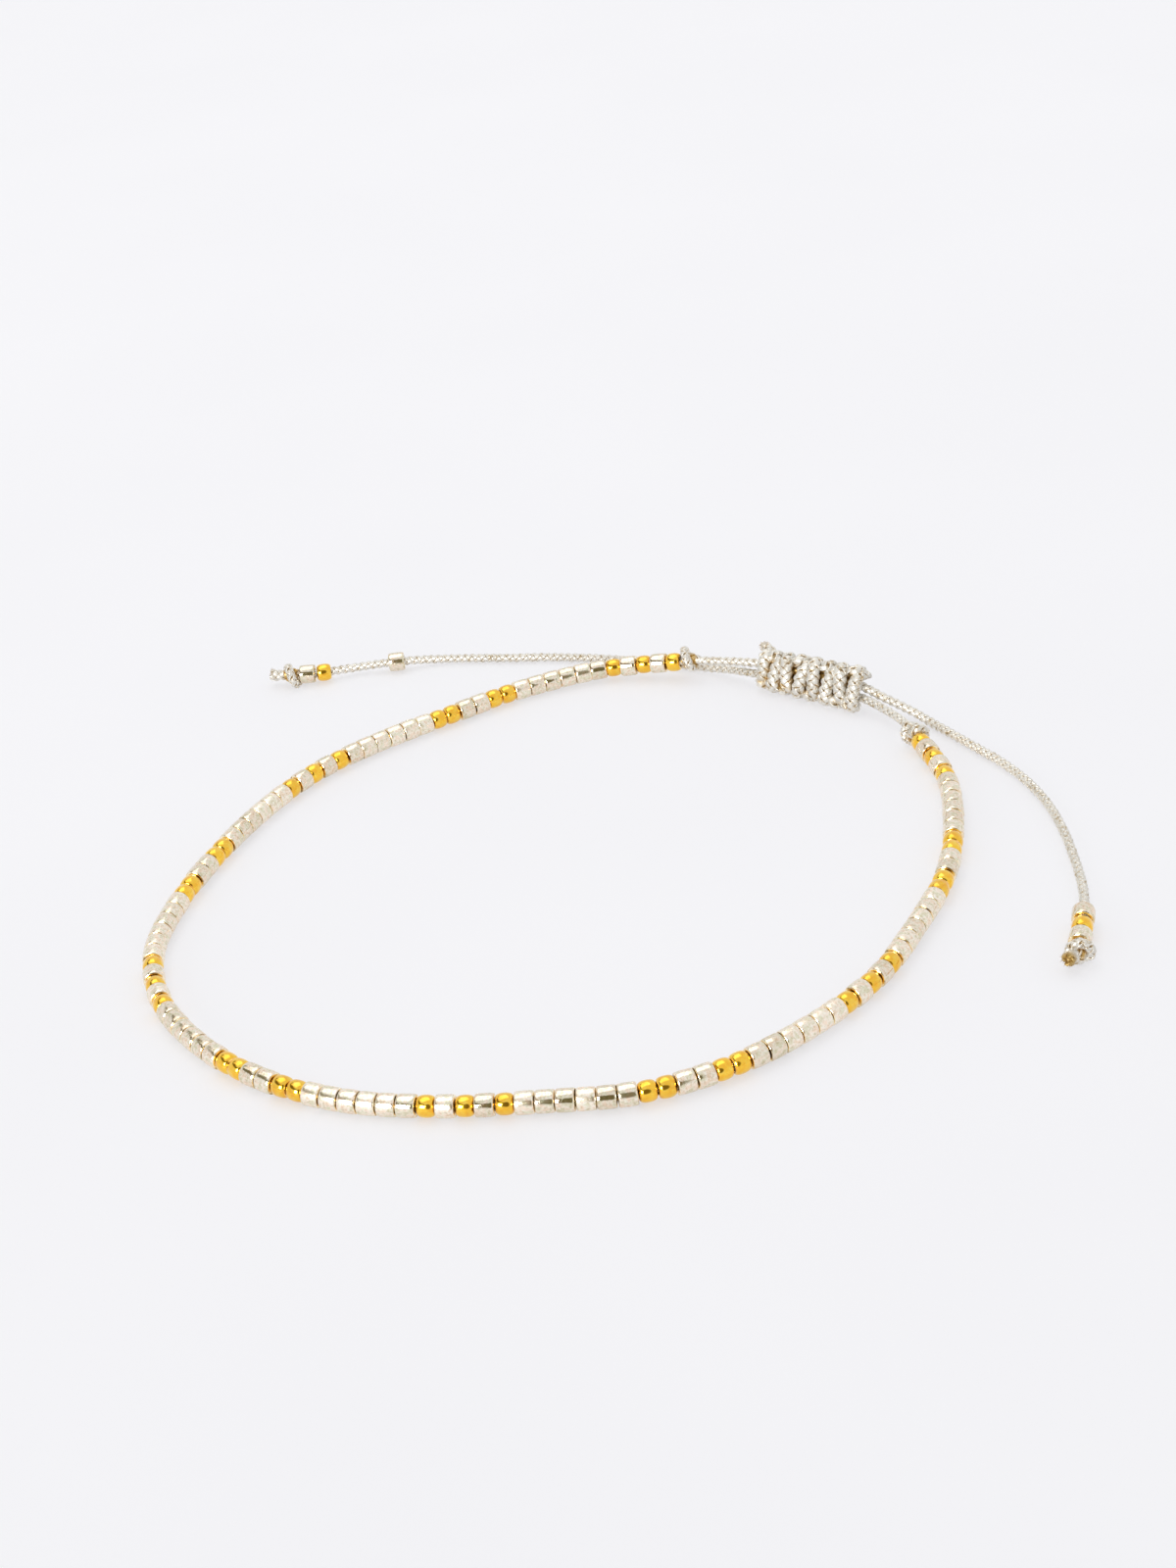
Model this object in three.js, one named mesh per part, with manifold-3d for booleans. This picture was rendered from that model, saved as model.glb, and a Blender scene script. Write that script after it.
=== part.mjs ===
// Beaded bracelet: a string of silver and gold seed beads on a braided metallic cord, closed by a
// sliding row of square knots, with two knotted and beaded cord tails. It lies flat on a table.
// Millimetres, +Z up, the table at z = 0, the origin under the middle of the loop.

import * as THREE from 'three';
import { mergeVertices } from 'three/addons/utils/BufferGeometryUtils.js';
import Module from 'manifold-3d';

// Seed beads: silver cylinders and rounder gold ones
const SILVER_DIAMETER = 1.6;
const SILVER_LENGTH = 1.3;
const SILVER_EDGE = 0.14;
const GOLD_DIAMETER = 1.5;
const GOLD_LENGTH = 1.22;
const GOLD_EDGE = 0.32;
const GROOVE_DIAMETER = 1.0;

// The order on the string: gold in fives, with a split pair of gold between long silver stretches
const PATTERN_UNIT = 'GSGSG' + 'SSSSSS' + 'GG' + 'SS' + 'GG' + 'SSSSSS';
const PATTERN_REPEATS = 5;
const PATTERN_CLOSE = 'GSGSG';

// Braided cord, and the clearances round it
const CORD_DIAMETER = 0.78;
const CORD_CLEARANCE = 0.06;
const SEAT_GAP = 0.1;
const CORD_STEP = 1.9;

// Overhand knots: two crossed turns of the cord round a core
const KNOT_DIAMETER = 1.75;
const KNOT_LENGTH = 1.3;
const KNOT_CORD = 0.68;
const KNOT_TILT = 24;
const CUT_END_LENGTH = 1.15;
const CUT_END_DIAMETER = 0.86;

// Sliding closure: half knots in a row round two cords, one above the other with a slight lean
const HALF_KNOTS = 7;
const HALF_KNOT_PITCH = 1.22;
const WRAP_THICKNESS = 0.64;
const WRAP_WIDTH = 0.88;
const WRAP_TILT = 17;
const SLEEVE_WALL = 0.18;
const CORE_SPACING = CORD_DIAMETER + SEAT_GAP;
const CORE_LEAN = 25;
const CLOSURE_CENTRE = [21.05, 20.67];
const CLOSURE_TURN = -38.4;

// Cut ends of the knotting cord, from inside the closure to the tip: along it, back and up, as shares
// of half its length and of its radius
const CLOSURE_CUT_ENDS = [
  { from: [-0.7, 0.275, 0.78], to: [-0.97, 1.147, 1.56] },
  { from: [0.806, -0.367, -0.505], to: [1.055, -1.147, -0.78] },
];

// Tail ends: the bare stretch inside the left gold bead, and how far each cut end lies to the right
const STOPPER_DISTANCE = 4.8;
const LEFT_CUT_END_SIDE = 0.55;
const RIGHT_CUT_END_SIDE = 0.8;

// Faceting
const BEAD_SIDES = 10;
const CORD_SIDES = 8;
const WRAP_FACETS = [6, 12];
const KNOT_FACETS = [5, 10];

const STRING_HEIGHT = SILVER_DIAMETER / 2;
const CORD_HEIGHT = CORD_DIAMETER / 2 + 0.01;
const TAIL_BEAD_HEIGHT = SILVER_DIAMETER / 2 + 0.02;
const TAIL_KNOT_HEIGHT = KNOT_DIAMETER / 2 + 0.02;
const KNOT_REACH = KNOT_LENGTH / 2 + SEAT_GAP;
const CLOSURE_RADIUS = CORD_DIAMETER / 2 + CORD_CLEARANCE + WRAP_THICKNESS;
const CLOSURE_LENGTH = (HALF_KNOTS - 1) * HALF_KNOT_PITCH + WRAP_WIDTH;
const CLOSURE_HEIGHT = CLOSURE_RADIUS + (CORE_SPACING / 2) * Math.cos(radians(CORE_LEAN)) + 0.01;

// Plan of the bead string from the left stop knot, round the front, to the right stop knot. The third
// number is how far the string is lifted there: it passes over its own tail beside the closure.
const STRING_ROUTE = [
  [12.3, 26.1, 0.8],
  [8.45, 27.35, 0.4],
  [4.7, 27.87, 0.15],
  [-1.6, 26.57, 0],
  [-7.35, 23.97, 0],
  [-13.1, 21.1, 0],
  [-18.2, 17.5, 0],
  [-22.2, 12.55, 0],
  [-25.3, 7.1, 0],
  [-27.6, 1.6, 0],
  [-28.95, -4.5, 0],
  [-28.05, -10.65, 0],
  [-25.0, -16.45, 0],
  [-20.7, -21.15, 0],
  [-15.25, -24.65, 0],
  [-9.2, -26.55, 0],
  [-2.9, -27.45, 0],
  [3.4, -27.9, 0],
  [9.45, -26.45, 0],
  [15.1, -23.3, 0],
  [19.9, -19.1, 0],
  [23.5, -13.8, 0],
  [26.6, -8.0, 0],
  [28.3, -1.8, 0],
  [28.95, 4.65, 0],
  [27.8, 11.15, 0.1],
];

// Plan and height of the free stretches of cord. The left tail passes under the lifted string.
const LEFT_TAIL = [
  [-20.4, 34.2, TAIL_KNOT_HEIGHT],
  [-17.9, 34.1, TAIL_BEAD_HEIGHT],
  [-14.6, 34.6, 0.62],
  [-11.3, 34.25, TAIL_BEAD_HEIGHT],
  [-8.6, 34.45, 0.5],
  [-5.4, 33.9, CORD_HEIGHT],
  [-2.2, 33.05, CORD_HEIGHT],
  [1.0, 32.25, CORD_HEIGHT],
  [4.2, 31.2, CORD_HEIGHT],
  [7.3, 29.95, CORD_HEIGHT],
  [9.8, 28.8, CORD_HEIGHT],
  [13.5, 26.8, 0.45],
  [15.5, 25.35, 0.7],
];
const RIGHT_STOP_APPROACH = [
  [26.2, 15.3, 1.0],
  [27.3, 13.2, 0.9],
];
const RIGHT_TAIL = [
  [26.4, 16.6, 1.3],
  [28.3, 14.9, 0.7],
  [29.95, 12.5, CORD_HEIGHT],
  [31.75, 9.3, CORD_HEIGHT],
  [33.4, 6.3, CORD_HEIGHT],
  [34.65, 3.15, CORD_HEIGHT],
  [35.4, -0.15, CORD_HEIGHT],
  [35.7, -3.8, CORD_HEIGHT],
  [35.65, -7.25, CORD_HEIGHT],
  [35.5, -10.05, CORD_HEIGHT],
  [35.15, -12.6, 0.6],
  [34.6, -14.9, TAIL_BEAD_HEIGHT],
  [33.85, -17.4, TAIL_BEAD_HEIGHT],
  [33.2, -19.15, TAIL_KNOT_HEIGHT],
];

const wasm = await Module();
wasm.setup();

function radians(degrees) {
  return (degrees * Math.PI) / 180;
}

// A polygon with flats at the top and bottom reaches its diameter there
function cornerRadius(diameter) {
  return diameter / 2 / Math.cos(Math.PI / BEAD_SIDES);
}

function toSolid(geometry) {
  const closed = geometry.clone();
  closed.deleteAttribute('normal');
  closed.deleteAttribute('uv');
  const merged = mergeVertices(closed, 1e-4);
  return new wasm.Manifold(
    new wasm.Mesh({
      numProp: 3,
      vertProperties: merged.getAttribute('position').array,
      triVerts: new Uint32Array(merged.getIndex().array),
    })
  );
}

function toGeometry(solid) {
  const mesh = solid.getMesh();
  const geometry = new THREE.BufferGeometry();
  geometry.setAttribute('position', new THREE.BufferAttribute(mesh.vertProperties, 3));
  geometry.setIndex(new THREE.BufferAttribute(mesh.triVerts, 1));
  geometry.computeVertexNormals();
  return geometry;
}

function joined(geometries) {
  return geometries.map(toSolid).reduce((whole, piece) => whole.add(piece));
}

// A smooth curve that never sags under the height at which it rests on the table
class RestingCurve extends THREE.CatmullRomCurve3 {
  constructor(points, restHeight) {
    super(
      points.map((point) => new THREE.Vector3(...point)),
      false,
      'centripetal'
    );
    this.restHeight = restHeight;
    this.arcLengthDivisions = 2000;
  }

  getPoint(t, target) {
    const point = super.getPoint(t, target);
    return point.setZ(Math.max(point.z, this.restHeight));
  }
}

// Axes at a distance along a curve: x to its right, y along it, z up
function frameAt(curve, distance) {
  const share = THREE.MathUtils.clamp(distance / curve.getLength(), 0, 1);
  const along = curve.getTangentAt(share);
  const right = new THREE.Vector3().crossVectors(along, new THREE.Vector3(0, 0, 1)).normalize();
  const up = new THREE.Vector3().crossVectors(right, along);
  return new THREE.Matrix4().makeBasis(right, along, up).setPosition(curve.getPointAt(share));
}

// Bead string

const beadOrder = PATTERN_UNIT.repeat(PATTERN_REPEATS) + PATTERN_CLOSE;
const BEADS = {
  S: { diameter: SILVER_DIAMETER, length: SILVER_LENGTH, edge: SILVER_EDGE },
  G: { diameter: GOLD_DIAMETER, length: GOLD_LENGTH, edge: GOLD_EDGE },
};
const SILVER_COLOUR = new THREE.Color(0xdcd8cc);
const GOLD_COLOUR = new THREE.Color(0xf2b824);

const stringLength = [...beadOrder].reduce((sum, kind) => sum + BEADS[kind].length, 0);
const wantedRoute = stringLength + 2 * KNOT_REACH;

// The loop opens or closes until the beads fill it from one stop knot to the other
const drawnRoute = new RestingCurve(STRING_ROUTE, 0).getLength();
const layoutScale = wantedRoute / drawnRoute;

function laidOut([x, y, height]) {
  return [x * layoutScale, y * layoutScale, height];
}

const stringCurve = new RestingCurve(
  STRING_ROUTE.map(([x, y, lift]) => laidOut([x, y, STRING_HEIGHT + lift])),
  STRING_HEIGHT
);
const firstBeadEnd = (stringCurve.getLength() - stringLength) / 2;

// The radius of the whole string along its length: each bead with its edges, and a groove between two
function stringProfile() {
  const groove = cornerRadius(GROOVE_DIAMETER);
  const profile = [new THREE.Vector2(0, 0), new THREE.Vector2(groove, 0)];
  let start = 0;
  for (const kind of beadOrder) {
    const { diameter, length, edge } = BEADS[kind];
    const end = start + length;
    profile.push(new THREE.Vector2(cornerRadius(diameter), start + edge));
    profile.push(new THREE.Vector2(cornerRadius(diameter), end - edge));
    profile.push(new THREE.Vector2(groove, end));
    start = end;
  }
  profile.push(new THREE.Vector2(0, start));
  return profile;
}

function beadKindAt(distance) {
  let end = 0;
  for (const kind of beadOrder) {
    end += BEADS[kind].length;
    if (distance < end) return kind;
  }
  return beadOrder.at(-1);
}

function beadStringGeometry() {
  const halfSide = Math.PI / BEAD_SIDES;
  const geometry = new THREE.LatheGeometry(stringProfile(), BEAD_SIDES, halfSide).toNonIndexed();
  const position = geometry.getAttribute('position');
  const colours = new Float32Array(position.count * 3);
  for (let corner = 0; corner < position.count; corner += 3) {
    const middle =
      (position.getY(corner) + position.getY(corner + 1) + position.getY(corner + 2)) / 3;
    const colour = beadKindAt(middle) === 'G' ? GOLD_COLOUR : SILVER_COLOUR;
    for (let k = 0; k < 3; k++) colour.toArray(colours, (corner + k) * 3);
  }
  const vertex = new THREE.Vector3();
  for (let i = 0; i < position.count; i++) {
    vertex.fromBufferAttribute(position, i);
    const frame = frameAt(stringCurve, firstBeadEnd + vertex.y);
    vertex.setY(0).applyMatrix4(frame);
    position.setXYZ(i, vertex.x, vertex.y, vertex.z);
  }
  geometry.setAttribute('color', new THREE.BufferAttribute(colours, 3));
  geometry.computeVertexNormals();
  return geometry;
}

// Closure

const closureFrame = new THREE.Matrix4()
  .makeRotationZ(radians(CLOSURE_TURN))
  .setPosition(...laidOut([...CLOSURE_CENTRE, CLOSURE_HEIGHT]));

// A place in the closure: along its axis, and above (+1) or below (-1) as one of its two cores
function corePlace(along, level) {
  const lean = radians(CORE_LEAN);
  const offset = (level * CORE_SPACING) / 2;
  return new THREE.Vector3(along, offset * Math.sin(lean), offset * Math.cos(lean))
    .applyMatrix4(closureFrame)
    .toArray();
}

// One half knot: a turn of cord round both cores, a ring parted by their spacing
function wrapGeometry(index) {
  const tube = WRAP_THICKNESS / 2;
  const geometry = new THREE.TorusGeometry(CLOSURE_RADIUS - tube, tube, ...WRAP_FACETS);
  geometry.scale(1, 1, WRAP_WIDTH / WRAP_THICKNESS);
  geometry.rotateZ(Math.PI / WRAP_FACETS[1]);
  const position = geometry.getAttribute('position');
  for (let i = 0; i < position.count; i++) {
    const half = Math.sign(position.getX(i));
    position.setX(i, position.getX(i) + (half * CORE_SPACING) / 2);
  }
  const hand = index % 2 ? 1 : -1;
  geometry.rotateY(Math.PI / 2);
  geometry.rotateX(radians(-CORE_LEAN));
  geometry.rotateZ(radians(hand * WRAP_TILT));
  geometry.translate((index - (HALF_KNOTS - 1) / 2) * HALF_KNOT_PITCH, 0, 0);
  return geometry;
}

// The inner strands of the closure, which join its turns: an oval sleeve round the two cores
function closureSleeveGeometry() {
  const radius = CORD_DIAMETER / 2 + CORD_CLEARANCE + SLEEVE_WALL;
  const outline = new THREE.Shape();
  outline.absarc(0, CORE_SPACING / 2, radius, 0, Math.PI);
  outline.absarc(0, -CORE_SPACING / 2, radius, Math.PI, Math.PI * 2);
  const length = (HALF_KNOTS - 1) * HALF_KNOT_PITCH;
  const geometry = new THREE.ExtrudeGeometry(outline, {
    depth: length,
    bevelEnabled: false,
    curveSegments: 5,
  });
  geometry.translate(0, 0, -length / 2);
  geometry.rotateX(Math.PI / 2);
  geometry.rotateZ(Math.PI / 2);
  geometry.rotateX(radians(-CORE_LEAN));
  return geometry;
}

// A cut end of the cord between two points, a little frayed at its tip
function cutEndGeometry(from, to) {
  const start = new THREE.Vector3(...from);
  const reach = new THREE.Vector3(...to).sub(start);
  const length = reach.length();
  const geometry = new THREE.CylinderGeometry(
    CUT_END_DIAMETER / 2,
    KNOT_CORD / 2,
    length,
    CORD_SIDES
  );
  geometry.translate(0, length / 2, 0);
  const upright = new THREE.Vector3(0, 1, 0);
  geometry.applyQuaternion(new THREE.Quaternion().setFromUnitVectors(upright, reach.normalize()));
  geometry.translate(...start);
  return geometry;
}

function closureGeometry() {
  const turns = Array.from({ length: HALF_KNOTS }, (_, index) => wrapGeometry(index));
  const inClosure = ([along, back, up]) => [
    (along * CLOSURE_LENGTH) / 2,
    back * CLOSURE_RADIUS,
    up * CLOSURE_RADIUS,
  ];
  const cutEnds = CLOSURE_CUT_ENDS.map(({ from, to }) =>
    cutEndGeometry(inClosure(from), inClosure(to))
  );
  const pieces = [closureSleeveGeometry(), ...turns, ...cutEnds];
  const solid = joined(pieces.map((piece) => piece.applyMatrix4(closureFrame)));
  const bore = CORD_DIAMETER + 2 * CORD_CLEARANCE;
  return toGeometry(
    solid
      .subtract(toSolid(cordGeometry(cordRightCurve, bore)))
      .subtract(toSolid(cordGeometry(cordLeftCurve, bore)))
  );
}

// Cords

const closureMouth = CLOSURE_LENGTH / 2 + CORD_DIAMETER / 2;

// The cord leaves a stop knot at its far side from the beads
function stopKnotExit(atStart) {
  const distance = atStart ? 0 : stringCurve.getLength();
  const outwards = atStart ? -1 : 1;
  return new THREE.Vector3(0, outwards * KNOT_REACH, 0)
    .applyMatrix4(frameAt(stringCurve, distance))
    .toArray();
}

const cordRightRoute = [
  stopKnotExit(true),
  corePlace(-closureMouth, 1),
  corePlace(0, 1),
  corePlace(closureMouth, 1),
  ...RIGHT_TAIL.map(laidOut),
];
const cordLeftRoute = [
  stopKnotExit(false),
  ...RIGHT_STOP_APPROACH.map(laidOut).reverse(),
  corePlace(closureMouth, -1),
  corePlace(0, -1),
  corePlace(-closureMouth, -1),
  ...LEFT_TAIL.map(laidOut).reverse(),
];
const cordRightCurve = new RestingCurve(cordRightRoute, CORD_HEIGHT);
const cordLeftCurve = new RestingCurve(cordLeftRoute, CORD_HEIGHT);

// The stretch of a curve up to a distance, as a curve of its own
function stretch(curve, end) {
  const part = new THREE.Curve();
  const share = end / curve.getLength();
  part.getPoint = (t, target) => curve.getPointAt(t * share, target);
  return part;
}

function cordGeometry(curve, diameter) {
  const section = new THREE.Shape();
  for (let side = 0; side < CORD_SIDES; side++) {
    const angle = (side / CORD_SIDES) * Math.PI * 2;
    const x = (diameter / 2) * Math.cos(angle);
    const y = (diameter / 2) * Math.sin(angle);
    if (side) section.lineTo(x, y);
    else section.moveTo(x, y);
  }
  return new THREE.ExtrudeGeometry(section, {
    steps: Math.round(curve.getLength() / CORD_STEP),
    extrudePath: curve,
    bevelEnabled: false,
  });
}

// Knots and the beads on the tails

function knotTurn(tilt) {
  const tube = KNOT_CORD / 2;
  const turn = new THREE.TorusGeometry(KNOT_DIAMETER / 2 - tube, tube, ...KNOT_FACETS);
  turn.rotateX(Math.PI / 2);
  turn.rotateZ(radians(tilt));
  return turn;
}

// An overhand knot at a frame, with its cut end towards a point beside the cord's line if it has one
function knotGeometry(frame, cutEndSide) {
  const core = new THREE.SphereGeometry(0.5, KNOT_FACETS[1], 6);
  core.scale(KNOT_DIAMETER - KNOT_CORD, KNOT_LENGTH, KNOT_DIAMETER - KNOT_CORD);
  const pieces = [core, knotTurn(KNOT_TILT), knotTurn(-KNOT_TILT)];
  if (cutEndSide !== undefined) {
    pieces.push(cutEndGeometry([0, 0, 0], [cutEndSide, KNOT_LENGTH / 2 + CUT_END_LENGTH, 0]));
  }
  return toGeometry(joined(pieces.map((piece) => piece.applyMatrix4(frame))));
}

function drilledBeadGeometry(kind) {
  const { diameter, length, edge } = BEADS[kind];
  const bore = cornerRadius(CORD_DIAMETER + 2 * CORD_CLEARANCE);
  const outer = cornerRadius(diameter);
  const shoulder = (outer + bore) / 2;
  const profile = [
    new THREE.Vector2(bore, -length / 2),
    new THREE.Vector2(shoulder, -length / 2),
    new THREE.Vector2(outer, -length / 2 + edge),
    new THREE.Vector2(outer, length / 2 - edge),
    new THREE.Vector2(shoulder, length / 2),
    new THREE.Vector2(bore, length / 2),
    new THREE.Vector2(bore, -length / 2),
  ];
  return new THREE.LatheGeometry(profile, BEAD_SIDES, Math.PI / BEAD_SIDES);
}

// Assembly

const silver = { color: SILVER_COLOUR, roughness: 0.3, metalness: 0.9 };
const gold = { color: GOLD_COLOUR, roughness: 0.2, metalness: 1 };
const braid = { color: 0xd9d3c4, roughness: 0.45, metalness: 0.8 };

const bracelet = new THREE.Group();

function addPiece(name, geometry, finish) {
  const mesh = new THREE.Mesh(geometry, new THREE.MeshStandardMaterial(finish));
  mesh.name = name;
  bracelet.add(mesh);
  return mesh;
}

// Threads a tail's outer bead, gold bead and stopper bead on its cord, and knots its end
function addTail(side, curve, beadsFromEnd, cutEndSide) {
  const knotCentre = curve.getLength();
  let outer = knotCentre - KNOT_REACH;
  for (const { name, kind, distance } of beadsFromEnd) {
    const { length } = BEADS[kind];
    outer -= distance;
    const geometry = drilledBeadGeometry(kind);
    geometry.applyMatrix4(frameAt(curve, outer - length / 2));
    addPiece(`${side}_tail_${name}`, geometry, kind === 'G' ? gold : silver);
    outer -= length + SEAT_GAP;
  }
  const knot = knotGeometry(frameAt(curve, knotCentre), cutEndSide);
  addPiece(`end_knot_${side}`, knot, braid);
  const cord = stretch(curve, knotCentre - KNOT_REACH);
  addPiece(`cord_${side}`, cordGeometry(cord, CORD_DIAMETER), braid);
}

addPiece('bead_string', beadStringGeometry(), { ...silver, color: 0xffffff, vertexColors: true });
addPiece('stop_knot_left', knotGeometry(frameAt(stringCurve, 0)), braid);
addPiece('stop_knot_right', knotGeometry(frameAt(stringCurve, stringCurve.getLength())), braid);
addPiece('slide_knot', closureGeometry(), braid);
addTail(
  'left',
  cordLeftCurve,
  [
    { name: 'silver_outer', kind: 'S', distance: 0 },
    { name: 'gold', kind: 'G', distance: 0 },
    { name: 'silver_inner', kind: 'S', distance: STOPPER_DISTANCE },
  ],
  LEFT_CUT_END_SIDE
);
addTail(
  'right',
  cordRightCurve,
  [
    { name: 'silver_outer', kind: 'S', distance: 0 },
    { name: 'gold', kind: 'G', distance: 0 },
    { name: 'silver_inner', kind: 'S', distance: 0 },
  ],
  RIGHT_CUT_END_SIDE
);

export default bracelet;
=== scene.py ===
"""Looks of the beaded bracelet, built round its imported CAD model.

Sizes, routes and places of the bracelet and the camera are in millimetres, as in the part's source,
and MM turns them into metres. The table's size and the lights are given in metres. x runs to the
right, y away from the camera and z up.
"""

import math
import random

import bpy
import numpy as np
from mathutils import Matrix, Vector


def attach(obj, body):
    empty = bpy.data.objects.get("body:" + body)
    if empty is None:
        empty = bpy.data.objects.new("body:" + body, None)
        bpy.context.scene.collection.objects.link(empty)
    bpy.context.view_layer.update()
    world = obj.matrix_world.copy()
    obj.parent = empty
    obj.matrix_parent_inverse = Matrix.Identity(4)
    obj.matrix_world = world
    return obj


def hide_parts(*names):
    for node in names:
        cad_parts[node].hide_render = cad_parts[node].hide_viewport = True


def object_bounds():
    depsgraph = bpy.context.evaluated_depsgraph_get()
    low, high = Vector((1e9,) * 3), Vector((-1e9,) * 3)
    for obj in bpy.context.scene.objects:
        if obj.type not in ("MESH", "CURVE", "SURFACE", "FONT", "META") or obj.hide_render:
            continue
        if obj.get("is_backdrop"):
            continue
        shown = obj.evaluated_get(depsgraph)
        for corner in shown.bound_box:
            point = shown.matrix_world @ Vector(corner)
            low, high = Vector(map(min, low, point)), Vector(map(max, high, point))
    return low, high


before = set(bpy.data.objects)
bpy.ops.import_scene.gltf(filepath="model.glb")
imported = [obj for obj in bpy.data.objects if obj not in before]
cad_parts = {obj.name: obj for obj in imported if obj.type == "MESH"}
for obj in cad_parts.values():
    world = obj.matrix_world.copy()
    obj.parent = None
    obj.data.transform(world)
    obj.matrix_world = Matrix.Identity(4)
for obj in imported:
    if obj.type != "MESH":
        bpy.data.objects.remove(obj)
cad_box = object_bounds()

MM = 0.001
SEED = 11

# No point of a cord, a knot or a fibre goes under this height
LOWEST = 0.01

# Sizes of the part's source
SILVER_DIAMETER = 1.6
SILVER_LENGTH = 1.3
GOLD_DIAMETER = 1.5
GOLD_LENGTH = 1.22
PATTERN = ("GSGSG" + "SSSSSS" + "GG" + "SS" + "GG" + "SSSSSS") * 5 + "GSGSG"
CORD_DIAMETER = 0.78
SEAT_GAP = 0.1
KNOT_LENGTH = 1.3
KNOT_REACH = KNOT_LENGTH / 2 + SEAT_GAP
HALF_KNOT_PITCH = 1.22
CLOSURE_RADIUS = 1.09
CLOSURE_LENGTH = 8.2
CORE_SPACING = 0.88
CORE_LEAN = math.radians(25)
CLOSURE_CENTRE = (21.05, 20.67)
CLOSURE_TURN = math.radians(-38.4)
CLOSURE_HEIGHT = CLOSURE_RADIUS + CORE_SPACING / 2 * math.cos(CORE_LEAN) + LOWEST
CLOSURE_MOUTH = CLOSURE_LENGTH / 2 + CORD_DIAMETER / 2
STOPPER_DISTANCE = 4.8
STRING_HEIGHT = 0.8
CORD_HEIGHT = 0.4
TAIL_BEAD_HEIGHT = 0.82
TAIL_KNOT_HEIGHT = 0.895

# Plan of the bead string and its lift over the table, from the left stop knot to the right one
STRING_ROUTE = [
    (12.3, 26.1, 0.8),
    (8.45, 27.35, 0.4),
    (4.7, 27.87, 0.15),
    (-1.6, 26.57, 0),
    (-7.35, 23.97, 0),
    (-13.1, 21.1, 0),
    (-18.2, 17.5, 0),
    (-22.2, 12.55, 0),
    (-25.3, 7.1, 0),
    (-27.6, 1.6, 0),
    (-28.95, -4.5, 0),
    (-28.05, -10.65, 0),
    (-25.0, -16.45, 0),
    (-20.7, -21.15, 0),
    (-15.25, -24.65, 0),
    (-9.2, -26.55, 0),
    (-2.9, -27.45, 0),
    (3.4, -27.9, 0),
    (9.45, -26.45, 0),
    (15.1, -23.3, 0),
    (19.9, -19.1, 0),
    (23.5, -13.8, 0),
    (26.6, -8.0, 0),
    (28.3, -1.8, 0),
    (28.95, 4.65, 0),
    (27.8, 11.15, 0.1),
]

# Plan and height of the free stretches of the two cords
LEFT_TAIL = [
    (-20.4, 34.2, TAIL_KNOT_HEIGHT),
    (-17.9, 34.1, TAIL_BEAD_HEIGHT),
    (-14.6, 34.6, 0.62),
    (-11.3, 34.25, TAIL_BEAD_HEIGHT),
    (-8.6, 34.45, 0.5),
    (-5.4, 33.9, CORD_HEIGHT),
    (-2.2, 33.05, CORD_HEIGHT),
    (1.0, 32.25, CORD_HEIGHT),
    (4.2, 31.2, CORD_HEIGHT),
    (7.3, 29.95, CORD_HEIGHT),
    (9.8, 28.8, CORD_HEIGHT),
    (13.5, 26.8, 0.45),
    (15.5, 25.35, 0.7),
]
RIGHT_STOP_APPROACH = [
    (26.2, 15.3, 1.0),
    (27.3, 13.2, 0.9),
]
RIGHT_TAIL = [
    (26.4, 16.6, 1.3),
    (28.3, 14.9, 0.7),
    (29.95, 12.5, CORD_HEIGHT),
    (31.75, 9.3, CORD_HEIGHT),
    (33.4, 6.3, CORD_HEIGHT),
    (34.65, 3.15, CORD_HEIGHT),
    (35.4, -0.15, CORD_HEIGHT),
    (35.7, -3.8, CORD_HEIGHT),
    (35.65, -7.25, CORD_HEIGHT),
    (35.5, -10.05, CORD_HEIGHT),
    (35.15, -12.6, 0.6),
    (34.6, -14.9, TAIL_BEAD_HEIGHT),
    (33.85, -17.4, TAIL_BEAD_HEIGHT),
    (33.2, -19.15, TAIL_KNOT_HEIGHT),
]

# Camera: the nearest distance that it sees is in metres
CAMERA_PLACE = (2.846, -158.494, 101.3)
CAMERA_LENS = 60
CAMERA_SENSOR = 36
CAMERA_DOWN = math.radians(30.75)
CAMERA_ROLL = math.radians(7.63)
CAMERA_NEAREST = 0.01


def add_camera():
    """The photograph's camera, which looks along y and down, and is a little rolled."""
    right = Vector((1, 0, 0))
    down = Vector((0, -math.sin(CAMERA_DOWN), -math.cos(CAMERA_DOWN)))
    ahead = Vector((0, math.cos(CAMERA_DOWN), -math.sin(CAMERA_DOWN)))
    across = math.cos(CAMERA_ROLL) * right + math.sin(CAMERA_ROLL) * down
    upwards = math.sin(CAMERA_ROLL) * right - math.cos(CAMERA_ROLL) * down
    data = bpy.data.cameras.new("camera")
    data.lens = CAMERA_LENS
    data.sensor_width = CAMERA_SENSOR
    data.clip_start = CAMERA_NEAREST
    camera = bpy.data.objects.new("camera", data)
    axes = Matrix((across, upwards, -ahead)).transposed().to_4x4()
    camera.matrix_world = Matrix.Translation(Vector(CAMERA_PLACE) * MM) @ axes
    bpy.context.collection.objects.link(camera)
    bpy.context.scene.camera = camera


add_camera()


# Curves

TANGENT_REACH = 0.05


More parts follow.
